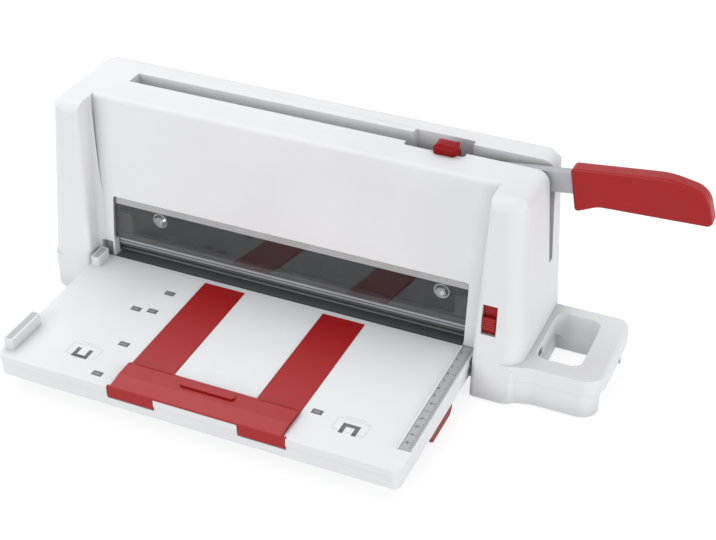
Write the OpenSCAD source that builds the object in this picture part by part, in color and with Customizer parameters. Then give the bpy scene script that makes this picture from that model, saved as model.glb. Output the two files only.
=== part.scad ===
// Lever paper cutter for short stacks: a covered blade between two towers, a folding feed table,
// a sliding paper guide, and a long lever that drives an oblique blade carriage and a press bar.

/* [Housing] */
// Length of the housing over both towers
housing_l = 439; // [425:1:470]
// Height of the housing above the desk
housing_h = 182; // [176:1:200]
// Width of each tower beside the table
tower_w = 41.5; // [38:0.5:48]
// Distance from the housing's middle plane to the tower fronts at the desk
tower_front = 58; // [56:0.5:64]
// How far the tower fronts lean back over the full height
tower_lean = 15; // [8:0.5:18]
// How far each end wall leans in over the height of the covers
end_draft = 8; // [4:0.5:10]
// How far the towers' inner walls lean apart over the height of the covers
inner_draft = 5; // [0:0.5:6]
// Rounding of the towers' inner upright edges
inner_r = 4.5; // [2:0.5:6]
// Distance from the housing's middle plane to the rear face
housing_rear = 58; // [54:0.5:70]
// Height of the base, on which the covers stand
base_h = 33.5; // [31:0.5:36]
// Wall of the plastic mouldings
wall = 3; // [2:0.25:3.5]
// Rounding of the top edges
top_r = 11; // [6:0.5:13]
// Rounding of the upright corners
corner_r = 16; // [8:0.5:18]
// Height of the feet under the base
foot_h = 2; // [1.5:0.25:4]
// Diameter of the feet
foot_d = 20; // [12:1:24]

/* [Front panel] */
// Distance from the middle plane to the panel at the top of the window
panel_low = 30; // [29:0.5:34]
// Distance from the middle plane to the panel at the top edge
panel_top = 19; // [18:0.5:26]
// Rounding of the panel's top edge
panel_r = 4; // [2:0.5:6]
// Fillet between the panel and the towers
fillet_r = 6; // [2:0.5:6]
// Width of the paper throat and its window
throat_w = 330; // [322:1:336]
// Height of the top of the window above the desk
window_top = 91; // [86:1:98]
// Height of the lower edge of the tinted guard above the desk
guard_low = 53; // [52:0.5:56]
// Thickness of the tinted guard
guard_t = 2.5; // [2:0.25:3]
// Height of the clear lamp strip behind the top of the guard
lamp_h = 8; // [5:0.5:10]
// Height of the paper outlet in the rear cover
outlet_h = 18; // [14:1:24]

/* [Lever slot] */
// Distance from the middle plane back to the middle of the lever slot
slot_y = 21.5; // [19:0.5:25]
// Width of the lever slot
slot_w = 16; // [14:0.5:20]
// How much each side of the slot comes in towards its lower end
slot_taper = 7; // [0:0.5:7]
// Distance from the housing's middle to the slot's left end
slot_left = 165.5; // [155:0.5:175]
// Height of the slot's lower end in the right end wall
slot_low = 95; // [90:1:116]
// Distance from the housing's middle to the middle of the lock pocket
pocket_x = 117; // [100:1:130]
// Length of the lock pocket
pocket_l = 52; // [48:1:64]
// Width of the lock pocket
pocket_w = 28; // [24:0.5:32]

/* [Lever] */
// Distance from the housing's middle to the lever pivot
pivot_x = 172; // [168:0.5:174]
// Height of the lever pivot above the desk
pivot_z = 124; // [122:0.5:128]
// Tilt of the resting lever above the horizontal
lever_tilt = 7; // [6.5:0.25:8]
// Thickness of the lever arm
arm_t = 8; // [7:0.5:9]
// Height of the lever arm
arm_h = 18; // [15:0.5:20]
// Radius of the eye around the lever pivot
eye_r = 28; // [27:0.5:30]
// Diameter of the pivot shaft
shaft_d = 16; // [12:0.5:18]
// Wall of the pivot bush
bush_wall = 2; // [1.5:0.25:3]
// Distance from the pivot to the drive pin
crank_r = 20; // [19:0.25:21]
// Diameter of the drive pin
drive_pin_d = 10; // [8:0.5:11]
// Angle of the drive pin below the horizontal at rest
crank_low = 23; // [21:0.5:25]

/* [Handle grip] */
// Distance from the pivot to the near end of the grip
grip_start = 403.5; // [400:0.5:420]
// Length of the grip
grip_l = 111; // [100:1:130]
// Thickness of the grip
grip_t = 13; // [12:0.5:16]
// Distance from the arm's axis up to the grip's top
grip_up = 14.5; // [13:0.5:17]
// Distance from the arm's axis down to the grip's palm side
grip_down = 18; // [14:0.5:20]
// Drop of the finger hook below the palm side
grip_hook = 6.5; // [4:0.5:8]
// Drop of the palm side towards the far end
grip_taper = 7; // [4:0.5:9]
// Rounding of the grip's edges
grip_r = 2.2; // [1:0.2:2.6]

/* [Blade and press] */
// Angle of the blade carriage's travel above the horizontal
carriage_slope = 60; // [58:1:64]
// Thickness of the blade carrier
carrier_t = 10; // [8:0.5:11]
// Height of the blade carrier plate
carrier_h = 72; // [70:1:76]
// Thickness of the blade
blade_t = 3; // [2.5:0.25:3.5]
// Height of the blade
blade_h = 44; // [40:1:46]
// Height of the blade's bevel
bevel_h = 7; // [5:0.5:9]
// Height of the resting blade edge above the table
edge_gap = 1.4; // [1.2:0.1:1.6]
// Distance between the two blade bolts
bolt_span = 264; // [240:2:270]
// Distance from the housing's middle to the middle between the blade bolts
bolt_mid = 6; // [0:0.5:7]
// Height of the blade bolts above the desk at rest
bolt_z = 69; // [66:0.5:72]
// Diameter of the blade bolt heads
bolt_head_d = 14; // [11:0.5:15]
// Diameter of the blade bolt shanks
bolt_d = 6; // [5:0.5:7]
// Diameter of the guide studs
stud_d = 10; // [8:0.5:11]
// Height of the resting press pad above the table
press_gap = 5; // [4.8:0.1:5.4]
// Height of the press bar
press_h = 13.5; // [12:0.5:14]
// Depth of the press bar
press_t = 6.5; // [6:0.25:7]
// Thickness of the press pad
pad_t = 1.5; // [1:0.25:2]
// Thickness of the upright tongues at the press bar's ends
tongue_t = 3; // [2.5:0.25:3.25]
// Thickness of the steel frame plate
frame_t = 6; // [5:0.5:7]
// Height of the cutting stick
stick_h = 8; // [6:0.5:10]
// Width of the cutting stick
stick_w = 9; // [7:0.5:11]

/* [Table] */
// Height of the table top above the desk
table_z = 34; // [33.5:0.1:34.4]
// Thickness of the table over its rim
table_t = 18.5; // [17.5:0.5:19]
// Distance from the housing's middle plane to the table's front edge
table_front = 201; // [190:1:215]
// Distance from the housing's middle plane to the table's rear edge
table_rear = 38; // [37.5:0.25:39]
// Clearance between the table and each tower
table_gap = 1.5; // [1:0.25:2.5]
// Skin of the table
table_skin = 3; // [2.5:0.25:3.5]
// Rounding of the table's front corners
table_r = 7; // [4:0.5:10]
// Distance from the middle plane to the table's hinge axis
hinge_y = 46; // [45.5:0.25:47]
// Height of the table's hinge axis
hinge_z = 27; // [26:0.25:27.5]
// Diameter of the table's hinge pins
hinge_d = 6; // [5:0.5:7]
// Height of the side fences above the table
fence_h = 10; // [6:0.5:11]
// Height of the rear fence
rear_fence_h = 8.5; // [6:0.5:9]
// Thickness of the side fences
fence_t = 8.5; // [6:0.5:9]
// Distance from the table's side to the side fences
fence_in = 1; // [0:0.25:2]
// White border round the pad on each side fence
fence_rim = 1.4; // [1:0.1:2]
// Width of the ruler strip
ruler_w = 9; // [7:0.5:9.5]

/* [Paper guide] */
// Distance from the housing's middle to the middle of the paper guide
guide_x = 5; // [-10:1:10]
// Width of the paper guide
guide_w = 150; // [130:1:170]
// Width of each arm of the paper guide
guide_arm_w = 38; // [26:1:44]
// Distance from the middle plane to the rear ends of the guide's arms
guide_rear = 44; // [43:0.5:48]
// Depth of the guide's cross bar
guide_bar = 34; // [26:1:40]
// Height of the guide's cross bar above the table
guide_bar_h = 4; // [3:0.25:6]
// Thickness of the guide's arms
guide_t = 1.8; // [1.5:0.1:2.2]
// Depth of the guide's channels in the table
guide_sink = 1.2; // [0.8:0.1:1.4]
// Drop of the guide's front lip below the table top
guide_lip = 10; // [6:0.5:12]
// How far the front lip stands past the guide's arms at each side
lip_over = 3; // [0:0.5:5]
// Pull of the guide towards the user
guide_travel = 95; // [60:1:100]

/* [Legs] */
// Width of each folding leg
leg_w = 46; // [30:1:48]
// Thickness of each folding leg
leg_t = 4; // [3:0.5:5]
// Distance from the middle plane to the middle of the legs
leg_y = 104; // [98:1:108]
// Height of the legs' hinge axis
leg_axis_z = 22; // [21:0.5:23]
// Diameter of the legs' hinge pins
leg_pin_d = 4; // [3:0.5:4.5]

/* [Lock and switch] */
// Length of the lever lock knob
knob_l = 20; // [18:0.5:24]
// Width of the lever lock knob
knob_w = 14; // [12:0.5:16]
// Height of the lever lock knob above the housing
knob_h = 9.5; // [7:0.5:11]
// Travel of the lever lock knob
knob_travel = 14; // [10:0.5:16]
// Width of the lamp switch opening
switch_w = 12.4; // [10:0.2:14]
// Height of the lamp switch opening
switch_h = 27.4; // [22:0.2:30]
// Height of the middle of the lamp switch above the desk
switch_z = 76; // [70:1:84]
// Distance from the tower's inner wall to the middle of the lamp switch
switch_in = 11; // [11:0.5:13]
// Travel of the lamp switch
switch_travel = 6; // [4:0.5:7]

/* [Carry loop] */
// Reach of the carry loop past the housing's end
loop_reach = 65; // [60:1:80]
// Distance from the middle plane to the loop's front face
loop_front = 50; // [48:0.5:52]
// Distance from the middle plane to the loop's rear face
loop_rear = 46; // [42:0.5:50]
// Height of the loop's top above the desk
loop_top = 39; // [37:0.5:42]
// Thickness of the loop's upper ring
ring_t = 14; // [11:0.5:17]
// How far the loop's lower wall stands in from the ring
ring_over = 4; // [2:0.5:5]
// Height of the hand opening under the loop's outer bar
arch_h = 20; // [16:0.5:22]
// Width of the loop's outer bar
loop_bar = 22; // [18:0.5:26]
// Rounding of the loop's outer corners
loop_r = 18; // [12:0.5:22]

/* [Hidden] */
$fn = 48;

// Running clearances and small common sizes
run_gap = 0.05;
slide_gap = 0.3;
free_gap = 1;
arc_steps = 8;
through = 500;
eps = 0.01;

// Shape helpers
function unit(v) = v / norm(v);
function half_angle(a, b, c) = acos(unit(a - b) * unit(c - b)) / 2;
function arc_centre(a, b, c, r) = b + unit(unit(a - b) + unit(c - b)) * r / sin(half_angle(a, b, c));
function arc_angle(m, p) = atan2(p[1] - m[1], p[0] - m[0]);
function corner_arc(a, b, c, r) =
    let (m = arc_centre(a, b, c, r),
         t = r / tan(half_angle(a, b, c)),
         first = arc_angle(m, b + unit(a - b) * t),
         last = arc_angle(m, b + unit(c - b) * t),
         sweep = (last - first + 540) % 360 - 180)
    [for (i = [0:arc_steps]) let (w = first + sweep * i / arc_steps) m + r * [cos(w), sin(w)]];
function corner(p, r, i) =
    let (n = len(p))
    r[i] > 0 ? corner_arc(p[(i + n - 1) % n], p[i], p[(i + 1) % n], r[i]) : [p[i]];

function outline(points, radii) = [for (i = [0:len(points) - 1]) each corner(points, radii, i)];

module rounded(points, radii) {
    polygon(outline(points, radii));
}

module rounded_box(low, high, r) {
    rounded([low, [high[0], low[1]], high, [low[0], high[1]]], [r, r, r, r]);
}

module obround(a, b, d) {
    along = atan2(b[1] - a[1], b[0] - a[0]);
    reach = norm(b - a);
    translate(a)
        rotate(along)
            rounded_box([-d / 2, -d / 2], [reach + d / 2, d / 2], d / 2 - eps);
}

module along_x(x0, x1) {
    translate([x0, 0, 0])
        rotate([90, 0, 90])
            linear_extrude(x1 - x0)
                children();
}

module along_y(y0, y1) {
    translate([0, y1, 0])
        rotate([90, 0, 0])
            linear_extrude(y1 - y0)
                children();
}

module along_z(z0, z1) {
    translate([0, 0, z0])
        linear_extrude(z1 - z0)
            children();
}

module rod_y(x, z, y0, y1, d) {
    translate([x, y1, z])
        rotate([90, 0, 0])
            cylinder(d = d, h = y1 - y0);
}

module rod_x(y, z, x0, x1, d) {
    translate([x0, y, z])
        rotate([0, 90, 0])
            cylinder(d = d, h = x1 - x0);
}

module both_ends() {
    children();
    mirror([1, 0, 0])
        children();
}

// Origin: middle of the overall footprint, on the desk
end_x = housing_l / 2;
grip_end = grip_start + grip_l;
grip_outline = outline([[grip_start, grip_up], [grip_start + 0.69 * grip_l, grip_up - 0.5],
    [grip_end - 4.5, grip_up - 10], [grip_end, -grip_down - grip_taper], [grip_start + 21, -grip_down],
    [grip_start + 1.7, -grip_down - grip_hook]], [4, 60, 18, 4.5, 20, 3]);
overall_right = -pivot_x + max([for (p = grip_outline) p[0] * cos(lever_tilt) - p[1] * sin(lever_tilt)]);
shift = [(end_x - overall_right) / 2, (table_front - housing_rear) / 2, 0];

module placed() {
    translate(shift)
        children();
}

// Housing planes
tower_in = end_x - tower_w;
throat = throat_w / 2;
top_skin = housing_h - wall;
cover_seat = base_h;
panel_slope = (panel_low - panel_top) / (housing_h - window_top);
cover_h = housing_h - base_h;
lean_rate = tower_lean / housing_h;
end_rate = end_draft / cover_h;
inner_rate = inner_draft / cover_h;
function tower_y(z) = -tower_front + lean_rate * z;
function end_at(z) = end_x - end_rate * (z - base_h);
function inner_at(z) = tower_in + inner_rate * (z - base_h);
function panel_y(z) = -panel_low + (z - window_top) * panel_slope;
seam_y = slot_y;

// Mechanism planes, counted from the middle plane
frame_front = -frame_t / 2;
frame_rear = frame_t / 2;
carrier_rear = frame_front - 1.5;
carrier_front = carrier_rear - carrier_t;
blade_front = carrier_front - blade_t;
bolt_head_t = 4;
head_front = blade_front - bolt_head_t;
press_rear = blade_front - 4.5;
press_front = press_rear - press_t;
frame_end = throat + 9;
bracket_in = throat;
bracket_out = throat + 6;
frame_top = pivot_z + eye_r;
frame_arch = base_h + outlet_h + 6;
arm_front = slot_y - arm_t / 2;
arm_rear = slot_y + arm_t / 2;

// Blade carriage at rest
edge_z = table_z + edge_gap;
carrier_low = edge_z + 16;
carrier_top = carrier_low + carrier_h;
slope_run = cos(carriage_slope) / sin(carriage_slope);
lift = 17.8;
drop = 2.3;
carriage_left = -throat + 11;
carriage_right = throat - lift * slope_run - 6;
stud_z = carrier_top - drop - stud_d / 2 - 6;
stud_x = 95;
pin_x = -pivot_x + crank_r * cos(crank_low);
pin_z = pivot_z - crank_r * sin(crank_low);
yoke_h = drive_pin_d + 0.8;
yoke_left = pin_x - lift * slope_run - 2;
yoke_right = pin_x + drop * slope_run + 4;
bolt_x = bolt_span / 2;

// Press bar at rest
pad_low = table_z + press_gap;
press_low = pad_low + pad_t;
press_top = press_low + press_h - pad_t;
tongue_top = press_top + 20;
tongue_front = press_rear - tongue_t;
tongue_in = throat - 13;

// Table
table_side = tower_in - table_gap;
table_low = table_z - table_t;
skin_low = table_z - table_skin;
base_front = table_rear - 3.5;
rim = 3;
rim_step = 0.8;
rim_step_z = table_z - 6.5;
fence_rear_end = 5;
guide_left = guide_x - guide_w / 2;
guide_right = guide_x + guide_w / 2;
arm_inner_left = guide_left + guide_arm_w;
arm_inner_right = guide_right - guide_arm_w;
lip_t = 2.4;
lip_left = arm_inner_left + 0.5;
lip_right = arm_inner_right + 0.4;
lip_spans = [[guide_left - lip_over, lip_left], [lip_right, guide_right + lip_over]];
runner_w = 6;
runner_l = 40;
runner_z = skin_low - 2.2;
leg_boss_d = leg_pin_d + 4;
leg_x = table_side - rim - leg_boss_d / 2 - 0.5;

// Lever lock
knob_right = pocket_x + 20;
knob_left = knob_right - knob_l;
knob_rear = arm_front - 0.5;
knob_front = knob_rear - knob_w;
pocket_front = slot_y - pocket_w / 2;
lug_x = knob_left - 11;
lug_w = 9;
lug_front = arm_front - 6.5;
lug_top = 164;

// Carry loop
loop_end = end_x + loop_reach;
hole_left = end_x + 4.5;
hole_right = loop_end - loop_bar;
hole_front = -loop_front + 16;
hole_rear = loop_rear - 14;

// One upright corner of the covers, leaning with its end wall and its face
module leaning_corner(side, face, lean, t) {
    far = 2 * housing_l;
    inward = face < 0 ? 1 : -1;
    multmatrix([[1, 0, -side * end_rate, side * end_rate * base_h], [0, 1, lean, 0], [0, 0, 1, 0], [0, 0, 0, 1]])
        along_z(0, housing_h)
            rounded([[side * (end_x - t), face + inward * t], [side * (end_x - t), inward * far],
                [-side * far, inward * far], [-side * far, face + inward * t]], [corner_r - t, 0, 0, 0]);
}

// Rounding of the top edge across one upright corner, at 45 degrees to both faces
module corner_top(side, face, lean, t) {
    far = 2 * housing_l;
    inward = face < 0 ? 1 : -1;
    turn = atan2(-inward, side);
    middle = [side * (end_x - corner_r), face + inward * corner_r] * [side, -inward] / sqrt(2);
    function reach(z) = middle + corner_r - t - end_rate * (z - base_h) / sqrt(2) - lean * z / sqrt(2);
    rotate([0, 0, turn])
        along_y(-far, far)
            rounded([[-far, 0], [reach(0), 0], [reach(housing_h), housing_h - t], [-far, housing_h - t]],
                [0, 0, top_r - t, 0]);
}

// Outer form of the covers, set in by t on every side
module cover_form(t) {
    intersection() {
        corner_top(-1, -tower_front, lean_rate, t);
        corner_top(1, -tower_front, lean_rate, t);
        corner_top(-1, housing_rear, 0, t);
        corner_top(1, housing_rear, 0, t);
        along_x(-end_x, end_x)
            rounded([[tower_y(cover_seat) + t, cover_seat - eps * t], [tower_y(housing_h) + t, housing_h - t],
                [housing_rear - t, housing_h - t], [housing_rear - t, cover_seat - eps * t]],
                [0, top_r - t, top_r - t, 0]);
        along_y(-tower_front, housing_rear)
            rounded([[-end_at(0) + t, 0], [-end_at(housing_h) + t, housing_h - t],
                [end_at(housing_h) - t, housing_h - t], [end_at(0) - t, 0]], [0, top_r - t, top_r - t, 0]);
        leaning_corner(-1, -tower_front, lean_rate, t);
        leaning_corner(1, -tower_front, lean_rate, t);
        leaning_corner(-1, housing_rear, 0, t);
        leaning_corner(1, housing_rear, 0, t);
    }
}

// Space between the towers in front of the leaning panel, set in by t
module panel_space(t) {
    above = housing_h + wall;
    intersection() {
        along_x(-end_x, end_x)
            polygon([[-2 * tower_front, 0], [panel_y(0) + t, 0], [panel_y(above) + t, above],
                [-2 * tower_front, above]]);
        along_y(-2 * tower_front, housing_rear)
            polygon([[-inner_at(0) - t, 0], [inner_at(0) + t, 0], [inner_at(above) + t, above],
                [-inner_at(above) - t, above]]);
    }
}

// Fillets where the panel meets the towers' inner walls
module panel_fillets() {
    panel_rate = (panel_y(housing_h) - panel_y(0)) / housing_h;
    edge = [tower_in, panel_y(0)];
    both_ends()
        multmatrix([[1, 0, inner_rate, -inner_rate * base_h], [0, 1, panel_rate, 0], [0, 0, 1, 0], [0, 0, 0, 1]])
            along_z(0, housing_h + wall)
                polygon(concat(corner_arc(edge + [-4 * fillet_r, 0], edge, edge + [0, -4 * fillet_r], fillet_r),
                    [edge + [wall, -fillet_r], edge + [wall, wall], edge + [-fillet_r, wall]]));
}

// Rounding of the panel's top edge between the towers
module panel_edge_cut() {
    edge = [panel_y(housing_h), housing_h];
    along_x(-inner_at(housing_h), inner_at(housing_h))
        polygon(concat(corner_arc([panel_y(0), 0], edge, edge + [10 * panel_r, 0], panel_r),
            [edge + [2 * panel_r, wall], edge + [-wall, wall], [panel_y(housing_h / 2) - eps, housing_h / 2]]));
}

// Rounding of a tower's inner upright edge, which leans out by the given rate
module inner_edge_cut(rate, z0, z1) {
    edge = [tower_in, -tower_front];
    both_ends()
        multmatrix([[1, 0, rate, -rate * base_h], [0, 1, lean_rate, 0], [0, 0, 1, 0], [0, 0, 0, 1]])
            along_z(z0, z1)
                polygon(concat(corner_arc(edge + [0, 4 * inner_r], edge, edge + [4 * inner_r, 0], inner_r),
                    [edge + [inner_r, -wall], edge + [-wall, -wall], edge + [-wall, inner_r]]));
}

module throat_space() {
    along_y(-2 * tower_front, 0)
        rounded([[-throat, 0], [throat, 0], [throat, window_top], [-throat, window_top]], [0, 0, 2, 2]);
}

// Slot in the right end wall, which narrows downwards, grown by the given amount
lining_t = 2;
lining_low = pivot_z + eye_r + 4;
lining_x = end_x - 48;

module end_slot(x1, grow) {
    rise = housing_h + wall - slot_low;
    top = slot_w / 2 + grow + slot_taper / cover_h * wall;
    low = slot_w / 2 + grow - slot_taper / cover_h * (housing_h - slot_low);
    along_x(lining_x - grow, x1)
        polygon([[slot_y - low, slot_low - grow], [slot_y + low, slot_low - grow],
            [slot_y + top, slot_low + rise], [slot_y - top, slot_low + rise]]);
}

module lever_slot_space() {
    along_z(lining_low, housing_h + wall)
        translate([-slot_left, slot_y - slot_w / 2])
            square([slot_left + lining_x + eps, slot_w]);
    end_slot(end_x + wall, 0);
    along_z(top_skin - top_r, housing_h + wall)
        rounded_box([pocket_x - pocket_l / 2, pocket_front],
            [pocket_x + pocket_l / 2, slot_y + pocket_w / 2], 2);
}

module slot_outline(grow) {
    translate([-slot_left - grow, slot_y - slot_w / 2 - grow])
        square([slot_left + lining_x + grow, slot_w + 2 * grow]);
}

module pocket_outline(grow) {
    rounded_box([pocket_x - pocket_l / 2 - grow, pocket_front - grow],
        [pocket_x + pocket_l / 2 + grow, slot_y + pocket_w / 2 + grow], 2 + grow);
}

// Walls that line the lever slot, and the rear of the lock pocket
module slot_lining() {
    intersection() {
        cover_form(0);
        difference() {
            union() {
                along_z(lining_low, housing_h)
                    slot_outline(lining_t);
                end_slot(end_x, lining_t);
                along_z(lining_low, housing_h)
                    difference() {
                        pocket_outline(lining_t);
                        translate([-end_x, slot_y - through])
                            square([housing_l, through]);
                    }
            }
            along_z(0, housing_h + wall)
                translate([-slot_left, slot_y - slot_w / 2])
                    square([slot_left + lining_x + eps, slot_w]);
            end_slot(end_x + wall, 0);
            along_z(0, housing_h + wall)
                pocket_outline(0);
            // The lock's foot slides in front of the slot
            along_z(0, housing_h + wall)
                translate([pocket_x - pocket_l / 2 - lining_t, slot_y - through])
                    square([pocket_l + 2 * lining_t, through]);
        }
    }
}

// Only the walls of the covers, without the parting of front and rear
module cover_walls() {
    difference() {
        cover_form(0);
        difference() {
            cover_form(wall);
            panel_space(wall);
        }
        difference() {
            panel_space(0);
            panel_fillets();
        }
        panel_edge_cut();
        inner_edge_cut(inner_rate, cover_seat - wall, housing_h + wall);
        throat_space();
        lever_slot_space();
    }
    slot_lining();
}

// Room for the rear fence when the table is folded up
fence_swing = rear_fence_h + 5;
fence_sweep = -hinge_y + norm([table_z + rear_fence_h - hinge_z, fence_rear_end]) + 0.5;

module fence_room(grow, low) {
    translate([-table_side + fence_in - free_gap - grow, panel_y(0) - 2, low])
        cube([fence_t + 2 * free_gap + 2 * grow, fence_sweep + grow - panel_y(0) + 2,
            cover_seat + fence_swing + grow - low]);
}

module front_cover() {
    color("white")
        placed()
            difference() {
                union() {
                    cover_walls();
                    // Closed pocket behind the panel
                    intersection() {
                        fence_room(1.5, cover_seat);
                        difference() {
                            cover_form(wall - eps);
                            panel_space(eps);
                        }
                    }
                }
                along_z(0, housing_h + wall)
                    translate([-housing_l, seam_y])
                        square([2 * housing_l, 2 * housing_rear]);
                // Opening for the lamp switch
                switch_frame()
                    cube([switch_w, 6 * wall, switch_h], center = true);
                fence_room(0, cover_seat - wall);
                // Slit that guides the lock knob
                translate([knob_left - knob_travel - 0.5, knob_front + 5, top_skin - wall])
                    cube([knob_l + knob_travel + 1, knob_w, 4 * wall]);
            }
}

module rear_cover() {
    color("white")
        placed()
            difference() {
                cover_walls();
                along_z(0, housing_h + wall)
                    translate([-housing_l, seam_y - 2 * tower_front])
                        square([2 * housing_l, 2 * tower_front]);
                // Paper outlet
                along_y(housing_rear - 2 * wall, housing_rear + wall)
                    rounded([[-throat, 0], [throat, 0], [throat, cover_seat + outlet_h],
                        [-throat, cover_seat + outlet_h]], [0, 0, 3, 3]);
                screw_places()
                    rod_y(0, 0, housing_rear - 2 * wall, housing_rear + wall, cover_screw_d);
            }
}

cover_screw_d = 4;
cover_screw_inset = 20;
cover_screw_low = 72;
cover_screw_high = 150;

module screw_places() {
    for (side = [-1, 1], z = [cover_screw_low, cover_screw_high])
        translate([side * (end_x - cover_screw_inset), 0, z])
            children();
}

module cover_screws() {
    color("dimgray")
        placed()
            screw_places()
                difference() {
                    union() {
                        rod_y(0, 0, housing_rear - wall - 8, housing_rear, cover_screw_d);
                        rod_y(0, 0, housing_rear, housing_rear + 1.8, cover_screw_d + 4);
                    }
                    cross_recess(housing_rear + 1.8);
                }
}

module cross_recess(y) {
    for (turn = [0, 90])
        translate([0, y, 0])
            rotate([0, turn, 0])
                cube([4, 2, 1], center = true);
}

// Base with the carry loop
module base_form(t) {
    intersection() {
        along_x(-end_x, end_x)
            polygon([[-tower_front + t, -eps], [tower_y(base_h) + t, base_h - t], [housing_rear - t, base_h - t],
                [housing_rear - t, -eps]]);
        along_z(foot_h, base_h)
            rounded([[-end_x + t, -tower_front + t], [end_x - t, -tower_front + t],
                [end_x - t, housing_rear - t], [-end_x + t, housing_rear - t]],
                [corner_r - t, corner_r - t, corner_r - t, corner_r - t]);
    }
}

// Outline of the carry loop, set in at its sides and its end, with an S-curve into the tower
module loop_outline(sides, end) {
    front = -loop_front + sides;
    corner = tower_y(base_h) + sides;
    rear = loop_rear - sides;
    rounded([[end_x - corner_r, -loop_front + corner_r], [end_x - corner_r, corner], [end_x - 9, corner],
        [end_x + 9, front], [loop_end - end, front], [loop_end - end, rear], [end_x - corner_r, rear]],
        [0, 0, 14, 14, loop_r - end, loop_r - end, 0]);
}

module loop_form() {
    ring_low = loop_top - ring_t;
    difference() {
        union() {
            intersection() {
                along_z(ring_low, loop_top)
                    loop_outline(0, 0);
                // Softened upper edges
                along_y(-through, through)
                    rounded([[0, 0], [loop_end, 0], [loop_end, loop_top], [0, loop_top]], [0, 0, 4, 0]);
                along_x(0, through)
                    rounded([[-tower_front, 0], [loop_rear, 0], [loop_rear, loop_top], [-tower_front, loop_top]],
                        [0, 0, 4, 0]);
            }
            difference() {
                along_z(foot_h, ring_low + 1)
                    loop_outline(ring_over / 4, ring_over);
                // Hand opening under the outer bar
                along_x(hole_left, loop_end + 1)
                    rounded([[hole_front, 0], [hole_rear, 0], [hole_rear, arch_h], [hole_front, arch_h]],
                        [0, 0, 8, 8]);
            }
        }
        along_z(0, loop_top + wall)
            rounded_box([hole_left, hole_front], [hole_right, hole_rear], 9);
        // The covers stand above the base beside the loop
        cover_form(-0.1);
    }
}

module base_moulding() {
    color("white")
        placed()
            difference() {
                union() {
                    base_form(0);
                    loop_form();
                }
                difference() {
                    translate([0, 0, -wall])
                        base_form(wall);
                    // The front wall between the towers stands back behind the table
                    along_x(-tower_in - wall, tower_in + wall)
                        translate([-2 * tower_front, 0])
                            square([2 * tower_front - base_front + wall, base_h]);
                    stick_bed();
                    hinge_bosses();
                }
                along_x(-tower_in, tower_in)
                    translate([-2 * tower_front, -wall])
                        square([2 * tower_front - base_front, base_h + 2 * wall]);
                stick_space();
                both_ends()
                    rod_x(-hinge_y, hinge_z, tower_in - wall, tower_in + 12, hinge_d);
                frame_screw_places()
                    cylinder(d = frame_screw_d, h = base_h);
                // Room for the rear fence when the table is folded up
                translate([-table_side + fence_in - free_gap, -base_front - 1, hinge_z - fence_rear_end - free_gap])
                    cube([fence_t + 2 * free_gap, fence_sweep + base_front + 1, base_h]);
                inner_edge_cut(0, -wall, base_h + wall);
                bed_space();
            }
}

module hinge_bosses() {
    both_ends()
        rod_x(-hinge_y, hinge_z, tower_in, tower_in + 12, hinge_d + 4);
}

stick_y = blade_front + blade_t / 2;
stick_low = table_z - stick_h;
stick_end = hole_left;
kerf_w = 1.3;
kerf_h = 1.6;

module stick_bed() {
    along_x(-throat - 2 * wall, end_x)
        translate([stick_y - stick_w / 2 - wall, stick_low - wall])
            square([stick_w + 2 * wall, stick_h + wall]);
}

module stick_space() {
    along_x(-throat - slide_gap, stick_end + wall)
        translate([stick_y - stick_w / 2 - slide_gap, stick_low])
            square([stick_w + 2 * slide_gap, stick_h]);
}

module cutting_stick() {
    color("gainsboro")
        placed()
            difference() {
                along_x(-throat, throat)
                    rounded_box([stick_y - stick_w / 2, stick_low], [stick_y + stick_w / 2, table_z], 0.6);
                // Kerf that the blade edge works in
                along_x(-throat - 1, throat + 1)
                    translate([carrier_front - kerf_w + slide_gap, table_z - kerf_h])
                        square([kerf_w, kerf_h + 1]);
            }
}

// Steel strip that the sheet crosses before the cutting stick
bed_t = 2;
bed_front = -base_front - 1.2;
bed_rear = stick_y - stick_w / 2 - slide_gap;

bed_end = throat - 2;

module bed_space() {
    along_x(-bed_end - slide_gap, bed_end + slide_gap)
        translate([bed_front - wall, table_z - bed_t])
            square([bed_rear - bed_front + wall, bed_t + wall]);
}

module bed_strip() {
    color("darkslategray")
        placed()
            along_x(-bed_end, bed_end)
                translate([bed_front, table_z - bed_t])
                    square([bed_rear - bed_front, bed_t]);
}

plate_t = 2;
plate_corner_gap = 1;
corner_space = 2 * (wall + plate_corner_gap);

module base_plate() {
    color("gray")
        placed()
            difference() {
                along_z(foot_h, foot_h + plate_t)
                    rounded([[-end_x + wall, -base_front + wall], [end_x - wall, -base_front + wall],
                        [end_x - wall, housing_rear - wall], [-end_x + wall, housing_rear - wall]],
                        [0, 0, corner_r - wall, corner_r - wall]);
                // Ends of the plate clear the tower corners
                for (side = [-1, 1])
                    translate([side * end_x, -base_front, 0])
                        cube([corner_space, corner_space, through], center = true);
            }
}

// Rubber feet, in from the ends, the front and the rear of the base
foot_from_end = 24;
foot_from_front = 20;
foot_from_rear = 18;
foot_x = end_x - foot_from_end;
foot_y = [-base_front + foot_from_front, housing_rear - foot_from_rear];

module rubber_feet() {
    color("dimgray")
        placed()
            for (x = [-foot_x, foot_x], y = foot_y)
                translate([x, y, 0])
                    cylinder(d1 = foot_d - 2, d2 = foot_d, h = foot_h);
}

// Tinted guard in the window, parallel to the panel
module leaning_strip(front, t, z0, z1) {
    polygon([[panel_y(z0) + front, z0], [panel_y(z0) + front + t, z0],
        [panel_y(z1) + front + t, z1], [panel_y(z1) + front, z1]]);
}

module safety_guard() {
    color([0.25, 0.25, 0.28, 0.6])
        placed()
            intersection() {
                along_x(-throat, throat)
                    leaning_strip(0.6, guard_t, guard_low, window_top);
                along_y(-2 * tower_front, 0)
                    rounded([[-throat, 0], [throat, 0], [throat, window_top], [-throat, window_top]], [0, 0, 3, 3]);
            }
}

lamp_t = 1.6;

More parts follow.
